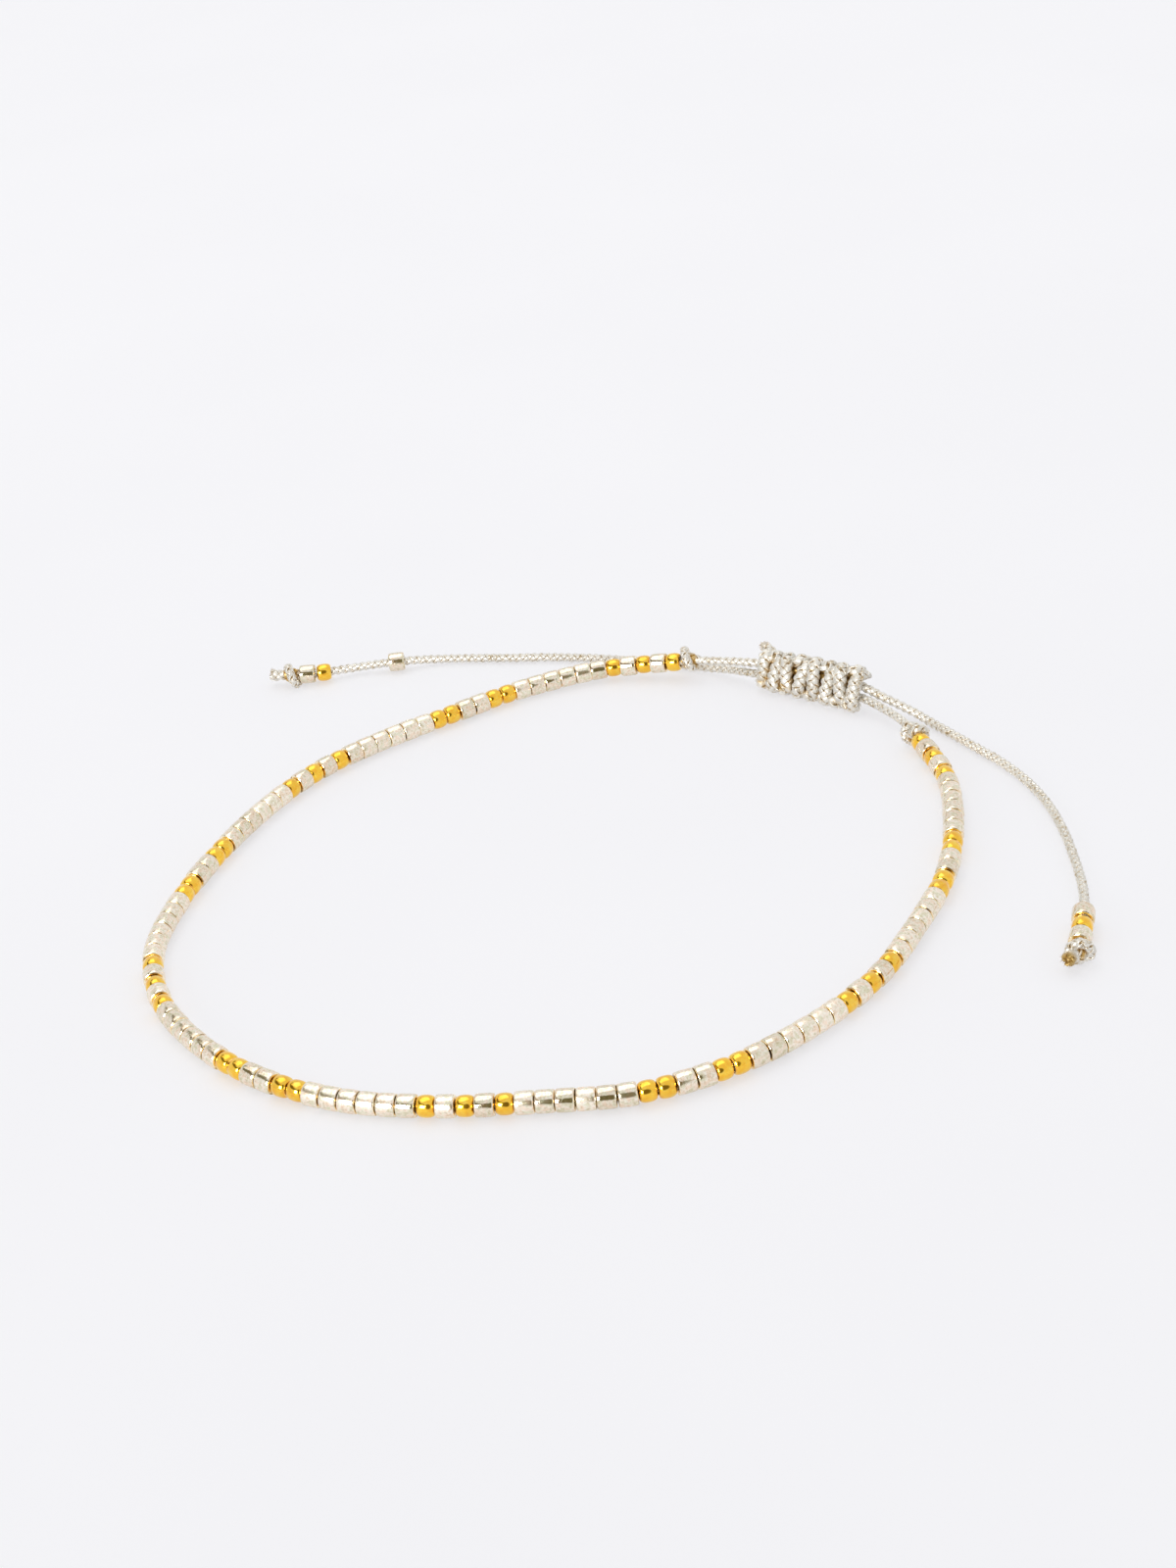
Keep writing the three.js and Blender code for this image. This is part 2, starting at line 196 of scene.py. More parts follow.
def smooth_curve(points, rest_height, per_span=120):
    """A centripetal Catmull-Rom curve through points, which never sags under rest_height."""
    points = np.array(points, float)
    ends = [2 * points[0] - points[1], 2 * points[-1] - points[-2]]
    guided = np.vstack([ends[0], points, ends[1]])
    share = np.linspace(0, 1, per_span, endpoint=False)[:, None]
    spans = []
    for p0, p1, p2, p3 in zip(guided, guided[1:], guided[2:], guided[3:]):
        t0, t1, t2 = (math.dist(a, b) ** 0.5 for a, b in ((p0, p1), (p1, p2), (p2, p3)))
        leave = ((p1 - p0) / t0 - (p2 - p0) / (t0 + t1) + (p2 - p1) / t1) * t1
        arrive = ((p2 - p1) / t1 - (p3 - p1) / (t1 + t2) + (p3 - p2) / t2) * t1
        square = 3 * (p2 - p1) - 2 * leave - arrive
        cube = 2 * (p1 - p2) + leave + arrive
        spans.append(p1 + leave * share + square * share**2 + cube * share**3)
    curve = np.vstack([*spans, points[-1]])
    curve[:, 2] = np.maximum(curve[:, 2], rest_height)
    return curve


def distances(line):
    return np.concatenate([[0], np.cumsum(np.linalg.norm(np.diff(line, axis=0), axis=1))])


def length_of(line):
    return float(distances(line)[-1])


def at(line, distance):
    """The point or points of a line at a distance along it."""
    along = distances(line)
    return np.stack([np.interp(distance, along, line[:, k]) for k in range(3)], axis=-1)


def spaced(line, step, start=0.0, end=None):
    """Points of a line about a step apart, from start to end."""
    end = length_of(line) if end is None else end
    count = max(2, round((end - start) / step) + 1)
    return at(line, np.linspace(start, end, count))


def unit(vectors):
    return vectors / np.linalg.norm(vectors, axis=-1, keepdims=True)


def frame_at(line, distance):
    """Axes at a distance along a line, as columns: to its right, along it, up."""
    near = [distance - TANGENT_REACH, distance + TANGENT_REACH]
    before, after = at(line, np.clip(near, 0, length_of(line)))
    along = unit(after - before)
    right = unit(np.cross(along, [0, 0, 1]))
    up = np.cross(right, along)
    return np.column_stack([right, along, up]), at(line, distance)


def carried_frames(line):
    """Tangents of a line and two axes across it, which don't twist on the way."""
    along = unit(np.gradient(line, axis=0))
    side = np.zeros_like(line)
    start = np.cross(along[0], [0, 0, 1])
    if np.linalg.norm(start) < 0.1:
        start = np.cross(along[0], [1, 0, 0])
    side[0] = unit(start)
    for i in range(1, len(line)):
        side[i] = unit(side[i - 1] - (side[i - 1] @ along[i]) * along[i])
    return along, side, np.cross(side, along)


# Layout, as in the part's source

bead_lengths = [GOLD_LENGTH if kind == "G" else SILVER_LENGTH for kind in PATTERN]
string_length = sum(bead_lengths)
layout_scale = (string_length + 2 * KNOT_REACH) / length_of(smooth_curve(STRING_ROUTE, 0))


def laid_out(point):
    x, y, height = point
    return (x * layout_scale, y * layout_scale, height)


string_line = smooth_curve(
    [laid_out((x, y, STRING_HEIGHT + lift)) for x, y, lift in STRING_ROUTE], STRING_HEIGHT
)
first_bead_end = (length_of(string_line) - string_length) / 2

closure_axes = np.array(
    [
        [math.cos(CLOSURE_TURN), -math.sin(CLOSURE_TURN), 0],
        [math.sin(CLOSURE_TURN), math.cos(CLOSURE_TURN), 0],
        [0, 0, 1],
    ]
)
closure_centre = np.array(laid_out((*CLOSURE_CENTRE, CLOSURE_HEIGHT)))


def in_closure(points):
    """Points given along the closure, back and up, in the model's frame."""
    return np.array(points, float) @ closure_axes.T + closure_centre


def core_place(along, level):
    """A place on the upper (+1) or lower (-1) cord inside the closure."""
    offset = level * CORE_SPACING / 2
    place = (along, offset * math.sin(CORE_LEAN), offset * math.cos(CORE_LEAN))
    return tuple(in_closure(place))


def stop_knot_exit(at_start):
    distance = 0 if at_start else length_of(string_line)
    axes, place = frame_at(string_line, distance)
    outwards = -1 if at_start else 1
    return tuple(place + outwards * KNOT_REACH * axes[:, 1])


cord_right_line = smooth_curve(
    [
        stop_knot_exit(True),
        core_place(-CLOSURE_MOUTH, 1),
        core_place(0, 1),
        core_place(CLOSURE_MOUTH, 1),
        *[laid_out(point) for point in RIGHT_TAIL],
    ],
    CORD_HEIGHT,
)
cord_left_line = smooth_curve(
    [
        stop_knot_exit(False),
        *[laid_out(point) for point in reversed(RIGHT_STOP_APPROACH)],
        core_place(CLOSURE_MOUTH, -1),
        core_place(0, -1),
        core_place(-CLOSURE_MOUTH, -1),
        *[laid_out(point) for point in reversed(LEFT_TAIL)],
    ],
    CORD_HEIGHT,
)


# Meshes


def joined(parts):
    """One set of points, quads and named values per point from several."""
    points, quads, values, offset = [], [], {}, 0
    for part_points, part_quads, part_values in parts:
        points.append(part_points)
        quads.append(part_quads + offset)
        offset += len(part_points)
        for name, value in part_values.items():
            values.setdefault(name, []).append(value)
    joined_values = {name: np.concatenate(value) for name, value in values.items()}
    return np.vstack(points), np.vstack(quads), joined_values


def faces_inwards(points, quads):
    a, b, c, d = (points[quads[:, k]] for k in range(4))
    volume = np.einsum("ij,ij->i", a, np.cross(b, c)) + np.einsum("ij,ij->i", a, np.cross(c, d))
    return volume.sum() < 0


def add_piece(name, part, material, replaced):
    """A smooth mesh in the scene, which rides on the model's body and stands for CAD nodes."""
    points, quads, values = part
    if faces_inwards(points, quads):
        quads = quads[:, ::-1]
    mesh = bpy.data.meshes.new(name)
    mesh.from_pydata((points * MM).tolist(), [], quads.tolist())
    for value_name, value in values.items():
        stored = mesh.attributes.new(value_name, "FLOAT", "POINT")
        stored.data.foreach_set("value", value.astype(np.float32))
    mesh.polygons.foreach_set("use_smooth", [True] * len(quads))
    mesh.materials.append(material)
    mesh.update()
    piece = bpy.data.objects.new(name, mesh)
    bpy.context.collection.objects.link(piece)
    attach(piece, "root")
    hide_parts(*replaced)
    return piece


def sweep(centres, across, outward, section, size):
    """A tube of a cross section along centres; size scales the section at each of them."""
    count, sides = len(centres), len(section)
    flat = section[None] * size[:, None, None]
    points = centres[:, None] + across[:, None] * flat[..., :1] + outward[:, None] * flat[..., 1:]
    row = np.arange(count - 1)[:, None] * sides
    here = np.arange(sides)[None]
    after = (here + 1) % sides
    quads = np.stack([row + here, row + after, row + sides + after, row + sides + here], -1)
    return points.reshape(-1, 3), quads.reshape(-1, 4)


CLOSED_SIZE = 0.02


def closing_size(count):
    """Size along a tube that closes both of its ends."""
    size = np.ones(count)
    size[[0, -1]] = CLOSED_SIZE
    return size


# Section of the braid's core, the threads and the fibres, for a radius of 1
ROUND_SIDES = 6
ROUND_SECTION = np.array(
    [(math.cos(a), math.sin(a)) for a in np.linspace(0, math.tau, ROUND_SIDES + 1)[:-1]]
)

# Braided cord: six flat strands on a core, three each way round, over and under one another

BRAID_DIAMETER = 0.755
BRAID_PITCH = 1.75
BRAID_STEP = 0.085
STRANDS_EACH_WAY = 3
STRAND_WIDTH = 0.33
STRAND_THICKNESS = 0.2
STRAND_WAVE = 0.075
CORE_DIAMETER = 0.36

# Power that widens the crowns of the strands in the value height, which is painted shade: dark in
# the hollows between them
HEIGHT_CURVE = 0.7

# A flat strand of five fine bundles: shares of half its width and of half its thickness
STRAND_SECTION = np.array(
    [
        (-1, 0),
        (-0.8, 0.62),
        (-0.6, 0.4),
        (-0.4, 0.9),
        (-0.2, 0.6),
        (0, 1),
        (0.2, 0.6),
        (0.4, 0.9),
        (0.6, 0.4),
        (0.8, 0.62),
        (1, 0),
        (0.5, -0.6),
        (-0.5, -0.6),
    ]
)


def braid(line, recess_shade, diameter=CORD_DIAMETER, swell=None, spread=None):
    """Points, quads and values of a braid on a line.

    The first function tells how deep in a knot any points lie, which is painted as warm shade in
    its recesses; swell widens the braid at each point of the line, and spread is a matrix that
    flattens or widens the whole cord about its line. The value height is painted shade: it runs
    from 0 in the hollows between the strands and on strands that pass under others, to 1 on their
    crowns.
    """
    ratio = diameter / CORD_DIAMETER
    _, side, up = carried_frames(line)
    distance = distances(line) / ratio
    swell = np.ones(len(line)) if swell is None else swell
    size = closing_size(len(line)) * ratio * swell**0.5
    middle = BRAID_DIAMETER / 2 - STRAND_THICKNESS / 2 - STRAND_WAVE
    section = STRAND_SECTION * (STRAND_WIDTH / 2, STRAND_THICKNESS / 2)
    # Painted shade in the grooves between a strand's fine bundles
    bundle_groove_shade = 0.5 + 0.5 * np.clip(STRAND_SECTION[:, 1], 0, 1)
    turn = math.tau * distance / BRAID_PITCH
    parts = []
    for hand in (1, -1):
        for strand in range(STRANDS_EACH_WAY):
            angle = hand * turn + strand * math.tau / STRANDS_EACH_WAY
            lift = hand * np.cos(STRANDS_EACH_WAY * turn)
            outward = np.cos(angle)[:, None] * side + np.sin(angle)[:, None] * up
            radius = (middle + STRAND_WAVE * lift) * ratio * swell
            centres = line + radius[:, None] * outward
            tangent = unit(np.gradient(centres, axis=0))
            across = unit(np.cross(tangent, outward))
            outward = np.cross(across, tangent)
            points, quads = sweep(centres, across, outward, section, size)
            # Painted shade: lower on a strand that passes under another and in the grooves between
            # its bundles
            height = ((lift[:, None] + 1) / 2) ** HEIGHT_CURVE * bundle_groove_shade[None]
            parts.append((points, quads, {"height": height.ravel()}))
    core_points, core_quads = sweep(line, side, up, ROUND_SECTION * CORE_DIAMETER / 2, size)
    # The core lies in full painted shade
    parts.append((core_points, core_quads, {"height": np.zeros(len(core_points))}))
    if spread is not None:
        for number, (points, quads, values) in enumerate(parts):
            centres = np.repeat(line, len(points) // len(line), axis=0)
            parts[number] = (centres + (points - centres) @ spread, quads, values)
    points, quads, values = joined(parts)
    # How deep the points lie in a knot's recesses, which the cord's finish paints as warm shade
    values["recess_shade"] = recess_shade(points)
    points[:, 2] = np.maximum(points[:, 2], LOWEST)
    return points, quads, values


# Materials


def new_material(name, metallic, roughness):
    """A material, its nodes and its shader, whose roughness stays unless a texture is linked."""
    material = bpy.data.materials.new(name)
    material.use_nodes = True
    shader = material.node_tree.nodes["Principled BSDF"]
    shader.inputs["Metallic"].default_value = metallic
    shader.inputs["Roughness"].default_value = roughness
    return material, material.node_tree, shader


def node(tree, kind, values=None, **settings):
    """A node with its settings, and its inputs set to values or linked to outputs."""
    made = tree.nodes.new(kind)
    for name, setting in settings.items():
        setattr(made, name, setting)
    for key, value in (values or {}).items():
        if isinstance(value, bpy.types.NodeSocket):
            tree.links.new(value, made.inputs[key])
        else:
            made.inputs[key].default_value = value
    return made


def object_place(tree):
    return node(tree, "ShaderNodeTexCoord").outputs["Object"]


def noise(tree, per_mm, detail=3.0, roughness=0.6):
    """Noise in the object's own space, with about so many swells a millimetre."""
    values = {
        "Vector": object_place(tree),
        "Scale": per_mm / MM,
        "Detail": detail,
        "Roughness": roughness,
    }
    return node(tree, "ShaderNodeTexNoise", values).outputs["Fac"]


def attribute(tree, name):
    return node(tree, "ShaderNodeAttribute", attribute_name=name).outputs["Fac"]


def ramp(tree, factor, stops):
    made = node(tree, "ShaderNodeValToRGB", {"Fac": factor})
    elements = made.color_ramp.elements
    while len(elements) < len(stops):
        elements.new(0.5)
    for element, (place, colour) in zip(elements, stops):
        element.position = place
        element.color = (*colour, 1)
    return made.outputs["Color"]


def stretched(tree, value, low, high, new_low=0.0, new_high=1.0):
    """A value from low to high brought to new_low to new_high, and no further."""
    values = {
        "Value": value,
        "From Min": low,
        "From Max": high,
        "To Min": new_low,
        "To Max": new_high,
    }
    return node(tree, "ShaderNodeMapRange", values).outputs["Result"]


def dot_product(tree, first, second):
    made = node(tree, "ShaderNodeVectorMath", {0: first, 1: second}, operation="DOT_PRODUCT")
    return made.outputs["Value"]


def worked_out(tree, operation, first, second=0.0):
    return node(tree, "ShaderNodeMath", {0: first, 1: second}, operation=operation).outputs[0]


def mixed(tree, factor, first, second, blend="MIX"):
    """Two colours mixed; each is an output or three numbers."""
    socket = bpy.types.NodeSocket
    first, second = (c if isinstance(c, socket) else (*c, 1) for c in (first, second))
    values = {0: factor, 6: first, 7: second}
    return node(tree, "ShaderNodeMix", values, data_type="RGBA", blend_type=blend).outputs[2]


def add_bump(tree, shader, height, strength, depth):
    values = {"Height": height, "Strength": strength, "Distance": depth * MM}
    bump = node(tree, "ShaderNodeBump", values)
    tree.links.new(bump.outputs["Normal"], shader.inputs["Normal"])


def rim_glint_and_shade_colour(tree):
    """Painted highlights and shade at the beads' ends: cream and golden glints with dark brown
    spots of shade.
    """
    return ramp(
        tree,
        noise(tree, 1.6, 2, 0.5),
        [(0.36, (0.3, 0.19, 0.05)), (0.47, (0.88, 0.64, 0.28)), (0.58, (1.0, 0.9, 0.68))],
    )


def silver_material():
    material, tree, shader = new_material("silver_bead_finish", 1.0, 0.2)
    body = ramp(
        tree,
        noise(tree, 5.0, 4, 0.7),
        [(0.32, (0.76, 0.64, 0.48)), (0.5, (0.97, 0.88, 0.76)), (0.66, (1.0, 0.96, 0.88))],
    )
    tint = ramp(
        tree,
        noise(tree, 2.6, 2, 0.5),
        [(0.38, (0.86, 0.89, 0.79)), (0.5, (1.0, 1.0, 1.0)), (0.62, (1.0, 0.91, 0.85))],
    )
    colour = mixed(tree, 1.0, body, tint, "MULTIPLY")
    toned = mixed(tree, attribute(tree, "tone"), (0.86, 0.84, 0.79), (1, 1, 0.99))
    colour = mixed(tree, 1.0, colour, toned, "MULTIPLY")
    # Painted highlight and shade at the bead's ends
    rim = stretched(tree, attribute(tree, "rim"), 0.2, 1)
    colour = mixed(tree, rim, colour, rim_glint_and_shade_colour(tree))
    tree.links.new(colour, shader.inputs["Base Color"])
    roughness = stretched(tree, attribute(tree, "tone"), 0.25, 1.0, 0.08, 0.28)
    tree.links.new(roughness, shader.inputs["Roughness"])
    add_bump(tree, shader, noise(tree, 6.0, 2), 0.3, 0.02)
    return material


def gold_material():
    material, tree, shader = new_material("gold_bead_finish", 1.0, 0.12)
    shader.inputs["Coat Weight"].default_value = 0.8
    shader.inputs["Coat Roughness"].default_value = 0.05
    shader.inputs["Coat IOR"].default_value = 1.6
    body = ramp(
        tree,
        noise(tree, 2.5, 3, 0.6),
        [(0.3, (0.96, 0.48, 0.01)), (0.5, (1.0, 0.59, 0.02)), (0.7, (1.0, 0.69, 0.08))],
    )
    toned = mixed(tree, attribute(tree, "tone"), (0.92, 0.88, 0.85), (1, 1, 1))
    colour = mixed(tree, 1.0, body, toned, "MULTIPLY")
    # Painted highlight and shade at the bead's ends
    rim = stretched(tree, attribute(tree, "rim"), 0.5, 1)
    colour = mixed(tree, rim, colour, rim_glint_and_shade_colour(tree))
    tree.links.new(colour, shader.inputs["Base Color"])
    roughness = stretched(tree, noise(tree, 1.5), 0.3, 0.7, 0.07, 0.17)
    tree.links.new(roughness, shader.inputs["Roughness"])
    add_bump(tree, shader, noise(tree, 3.0, 2), 0.12, 0.02)
    return material


def braid_material():
    material, tree, shader = new_material("metallic_cord_finish", 0.35, 0.3)
    # Painted shade: dark brown in the hollows between the strands and on strands that pass under
    # others, the cord's own pale colour on the crowns
    strand_colour_and_shade = ramp(
        tree,
        attribute(tree, "height"),
        [(0.12, (0.28, 0.17, 0.05)), (0.32, (0.74, 0.57, 0.34)), (0.53, (0.99, 0.96, 0.89))],
    )
    flecks = stretched(tree, noise(tree, 2.6, 3, 0.7), 0.54, 0.68)
    colour = mixed(tree, flecks, strand_colour_and_shade, (0.58, 0.44, 0.24))
    # Painted warm shade: golden brown in the knots' recesses
    colour = mixed(tree, attribute(tree, "recess_shade"), colour, (0.76, 0.5, 0.15))
    colour = mixed(tree, attribute(tree, "cut"), colour, (0.6, 0.4, 0.12))
    tree.links.new(colour, shader.inputs["Base Color"])
    roughness = stretched(tree, noise(tree, 4.0), 0.35, 0.65, 0.3, 0.5)
    tree.links.new(roughness, shader.inputs["Roughness"])
    add_bump(tree, shader, noise(tree, 9.0, 2), 0.3, 0.02)
    return material


def fibre_material():
    material, tree, shader = new_material("cut_fibre_finish", 0.5, 0.4)
    colour = ramp(
        tree,
        noise(tree, 2.5, 3, 0.7),
        [(0.35, (0.25, 0.15, 0.05)), (0.5, (0.6, 0.45, 0.25)), (0.65, (0.9, 0.85, 0.75))],
    )
    tree.links.new(colour, shader.inputs["Base Color"])
    return material


def thread_material():
    material, tree, shader = new_material("bead_thread_finish", 0.6, 0.4)
    colour = ramp(
        tree,
        noise(tree, 2.0, 3, 0.7),
        [(0.35, (0.4, 0.24, 0.05)), (0.65, (0.85, 0.6, 0.22))],
    )
    tree.links.new(colour, shader.inputs["Base Color"])
    return material


silver_finish = silver_material()
gold_finish = gold_material()
braid_finish = braid_material()
fibre_finish = fibre_material()
thread_finish = thread_material()


# Beads: hollow turned shapes. Each half runs from the bore over the end to the middle, as shares of
# half the diameter and of half the length.

SILVER_HALF = [
    (0.53, 0.9),
    (0.58, 0.985),
    (0.65, 1.0),
    (0.84, 1.0),
    (0.915, 0.967),
    (0.955, 0.9),
    (0.98, 0.79),
    (0.994, 0.55),
]
GOLD_HALF = [
    (0.45, 0.83),
    (0.52, 0.95),
    (0.61, 1.0),
    (0.72, 0.975),
    (0.83, 0.88),
    (0.915, 0.71),
    (0.97, 0.48),
    (0.996, 0.22),
]
BEAD_SEGMENTS = 28

# Share of its length that a bead fills, the rest being the gap to the next one
BEAD_FILL = 0.97

# The most that a bead is narrower than its kind, and that its ends slant
BEAD_NARROWING = 0.04
BEAD_SLANT = 0.035

# The painted highlight and shade of the rim begin at this share of half the length and are full
# this much further out
RIM_START = 0.9
RIM_WIDTH = 0.08


def bead_part(kind, line, start, rng):
    """Points, quads and values of the bead that begins at a distance along a line."""
    diameter, length = (
        (GOLD_DIAMETER, GOLD_LENGTH) if kind == "G" else (SILVER_DIAMETER, SILVER_LENGTH)
    )
    half = GOLD_HALF if kind == "G" else SILVER_HALF
    profile = [(r, -y) for r, y in half] + [(1.0, 0.0)] + [(r, y) for r, y in reversed(half)]
    radius = np.array([r for r, _ in profile]) * diameter / 2
    along = np.array([y for _, y in profile]) * length / 2 * BEAD_FILL
    # rim marks the bead's ends, for their painted highlight and shade
    rim = np.clip((np.abs([y for _, y in profile]) - RIM_START) / RIM_WIDTH, 0, 1)
    rim[[0, -1]] = 1
    wide = 1 - rng.uniform(0, BEAD_NARROWING)
    slant = rng.uniform(-BEAD_SLANT, BEAD_SLANT)
    turns = np.arange(BEAD_SEGMENTS) / BEAD_SEGMENTS * math.tau + rng.uniform(0, math.tau)
    x = np.cos(turns)[:, None] * radius * wide
    z = np.sin(turns)[:, None] * radius * wide
    y = np.tile(along, (BEAD_SEGMENTS, 1)) + slant * x
    axes, centre = frame_at(line, start + length / 2)
    points = np.stack([x, y, z], axis=-1).reshape(-1, 3) @ axes.T + centre
    sides = len(profile)
    row = np.arange(BEAD_SEGMENTS)[:, None]
    after_row = (row + 1) % BEAD_SEGMENTS
    here = np.arange(sides)[None]
    after = (here + 1) % sides
    corners = [
        row * sides + here,
        row * sides + after,
        after_row * sides + after,
        after_row * sides + here,
    ]
    quads = np.stack(corners, -1).reshape(-1, 4)
    tone = np.full(len(points), rng.random())
    return points, quads, {"rim": np.tile(rim, BEAD_SEGMENTS), "tone": tone}


def string_beads(kind):
    """All beads of one kind on the string."""
    rng = random.Random(SEED + ord(kind))
    starts = first_bead_end + np.concatenate([[0], np.cumsum(bead_lengths)])
    return joined(
        bead_part(kind, string_line, start, rng)
        for start, bead_kind in zip(starts, PATTERN)
        if bead_kind == kind
    )


add_piece("silver_beads", string_beads("S"), silver_finish, ["bead_string"])
add_piece("gold_beads", string_beads("G"), gold_finish, ["bead_string"])

THREAD_DIAMETER = 0.72
THREAD_PLIES = 2
THREAD_PITCH = 1.6
THREAD_STEP = 0.2


def bead_thread():
    """Two plies twisted together, which fill the beads from one stop knot to the other."""
    line = spaced(string_line, THREAD_STEP)
    _, side, up = carried_frames(line)
    ply_radius = THREAD_DIAMETER / 2 / THREAD_PLIES
    ply = ROUND_SECTION * ply_radius
    parts = []
    for number in range(THREAD_PLIES):
        angle = math.tau * (distances(line) / THREAD_PITCH + number / THREAD_PLIES)
        offset = np.cos(angle)[:, None] * side + np.sin(angle)[:, None] * up
        centres = line + offset * ply_radius
        points, quads = sweep(centres, side, up, ply, closing_size(len(line)))
        parts.append((points, quads, {}))
    return joined(parts)


add_piece("bead_thread", bead_thread(), thread_finish, ["bead_string"])


def tail_beads(side, line, kinds):
    """The beads of a tail from its end knot inwards, each with the bare cord before it."""
    rng = random.Random(SEED + len(side))
    outer = length_of(line) - KNOT_REACH
    parts = {"S": [], "G": []}
    for kind, bare in kinds:
        length = GOLD_LENGTH if kind == "G" else SILVER_LENGTH
        outer -= bare
        parts[kind].append(bead_part(kind, line, outer - length, rng))
        outer -= length + SEAT_GAP
    silver_nodes = [f"{side}_tail_silver_outer", f"{side}_tail_silver_inner"]
    silver = add_piece(
        f"{side}_tail_silver_beads", joined(parts["S"]), silver_finish, silver_nodes
    )
    gold = add_piece(
        f"{side}_tail_gold_bead", joined(parts["G"]), gold_finish, [f"{side}_tail_gold"]
    )
    return [silver, gold]


left_beads = tail_beads("left", cord_left_line, [("S", 0), ("G", 0), ("S", STOPPER_DISTANCE)])
right_beads = tail_beads("right", cord_right_line, [("S", 0), ("G", 0), ("S", 0)])


# Overhand knots: the cord turns one and a half times round itself and passes back inside

KNOT_CORD = 0.82
WRAP_CENTRE = 0.71

# How far the cord runs on past the knot, into a bead or the next cord
KNOT_OVERRUN = 0.15

# The painted warm shade in the recesses begins this far inside the middle of the turns, is full
# this much deeper, and fades out over this much before the knot's ends
KNOT_SHADE_START = 0.02
KNOT_SHADE_DEPTH = 0.2
KNOT_SHADE_FADE = 0.15

# Angle round the cord in degrees, share of the turns' radius, distance along in millimetres
KNOT_PATH = [
    (180, 0.14, -0.52),
    (200, 0.4, -0.1),
    (240, 0.68, 0.28),
    (290, 0.97, 0.42),
    (350, 1.0, 0.34),
    (410, 1.0, 0.17),
    (470, 1.0, -0.03),
    (530, 1.0, -0.24),
    (590, 0.99, -0.41),
    (640, 0.74, -0.4),
    (690, 0.44, -0.12),
    (720, 0.36, 0.2),
]


def knot_points(turn, last_points, shift):
    """The way of the cord through an overhand knot, in the knot's own frame.

    turn, in degrees, and shift move its turns, and last_points lead out of them.
    """
    points = [(0, -KNOT_REACH - KNOT_OVERRUN, 0)]
    for angle, share, along in KNOT_PATH:
        bearing = math.radians(angle + turn)
        radius = share * WRAP_CENTRE
        place = (radius * math.cos(bearing), along, radius * math.sin(bearing))
        points.append(tuple(np.add(place, shift)))
    return points + last_points


def knot_line(points, axes, centre):
    line = smooth_curve(points, -np.inf)
    return spaced(line @ axes.T + centre, BRAID_STEP)


def knot_recess_shade(axes, centre):
    """How deep any points lie in the recesses of an overhand knot, where warm shade is painted."""

    def recess_shade(points):
        place = (points - centre) @ axes
        off = np.hypot(place[:, 0], place[:, 2])
        inside = np.clip((WRAP_CENTRE - KNOT_SHADE_START - off) / KNOT_SHADE_DEPTH, 0, 1)
        from_end = KNOT_LENGTH / 2 - np.abs(place[:, 1])
        return inside * np.clip(from_end / KNOT_SHADE_FADE, 0, 1)

    return recess_shade


STOP_KNOT_EXIT = (0.05, 0.6, 0)


def add_stop_knot(name, node_name, distance, turn, shift):
    """The knot at a distance along the bead string."""
    axes, centre = frame_at(string_line, distance)
    through = [STOP_KNOT_EXIT, (0, KNOT_REACH + KNOT_OVERRUN, 0)]
    line = knot_line(knot_points(turn, through, shift), axes, centre)
    part = braid(line, knot_recess_shade(axes, centre), KNOT_CORD)
    add_piece(name, part, braid_finish, [node_name])


add_stop_knot("left_stop_knot", "stop_knot_left", 0, turn=40, shift=(0, 0.12, 0.2))
add_stop_knot(
    "right_stop_knot",
    "stop_knot_right",
    length_of(string_line),
    turn=200,
    shift=(0, -0.12, 0.1),
)

FIBRE_COUNT = 60
FIBRE_DIAMETER = 0.05
FIBRE_LENGTH = 0.36
FIBRE_POINTS = 6

# Length of the shortest fibre and thickness at the tip, as shares of the longest and the thickest
FIBRE_SHORTEST = 0.5
FIBRE_TAPER = 0.5
FIBRE_CLOSED_SIZE = 0.05

# How deep in the cord a fibre begins and, as shares of the frayed end's radius, how far from its
# middle that is at most, and the least and the most that it bends outwards
FIBRE_ROOT = 0.25
FIBRE_FIELD = 0.8
FIBRE_BEND = (0.1, 0.7)
NEARLY_UP = (0, 0.2, 1)


def frayed_fibres(tip, direction, radius, seed):
    """Short curved fibres that stand out of a cut end."""
    rng = random.Random(seed)
    direction = unit(direction)
    side = unit(np.cross(direction, NEARLY_UP))
    up = np.cross(side, direction)
    sides = np.tile(side, (FIBRE_POINTS, 1))
    ups = np.tile(up, (FIBRE_POINTS, 1))
    share = np.linspace(0, 1, FIBRE_POINTS)[:, None]
    size = np.linspace(1, FIBRE_TAPER, FIBRE_POINTS)
    size[[0, -1]] = FIBRE_CLOSED_SIZE
    section = ROUND_SECTION * FIBRE_DIAMETER / 2
    parts = []
    for _ in range(FIBRE_COUNT):
        bearing = rng.uniform(0, math.tau)
        out = math.cos(bearing) * side + math.sin(bearing) * up
        spread = math.sqrt(rng.random())
        root = tip + out * spread * radius * FIBRE_FIELD - direction * FIBRE_ROOT
        reach = FIBRE_LENGTH * rng.uniform(FIBRE_SHORTEST, 1)
        bend = out * spread * radius * rng.uniform(*FIBRE_BEND)
        centres = root + direction * reach * share + bend * share**2
        points, quads = sweep(centres, sides, ups, section, size)
        points[:, 2] = np.maximum(points[:, 2], LOWEST)
        parts.append((points, quads, {}))
    return joined(parts)


def browned(points, tip, browning, reach, fade):
    """How brown any points are: fully within reach of a cut tip, and not at all past the fade."""
    off_tip = np.linalg.norm(points - tip, axis=1)
    return browning * np.clip(1 - (off_tip - reach) / fade, 0, 1)


# Places on the way from an end knot's middle to its tip, as shares of that way
TIP_SHARES = (0.45, 0.75, 1)

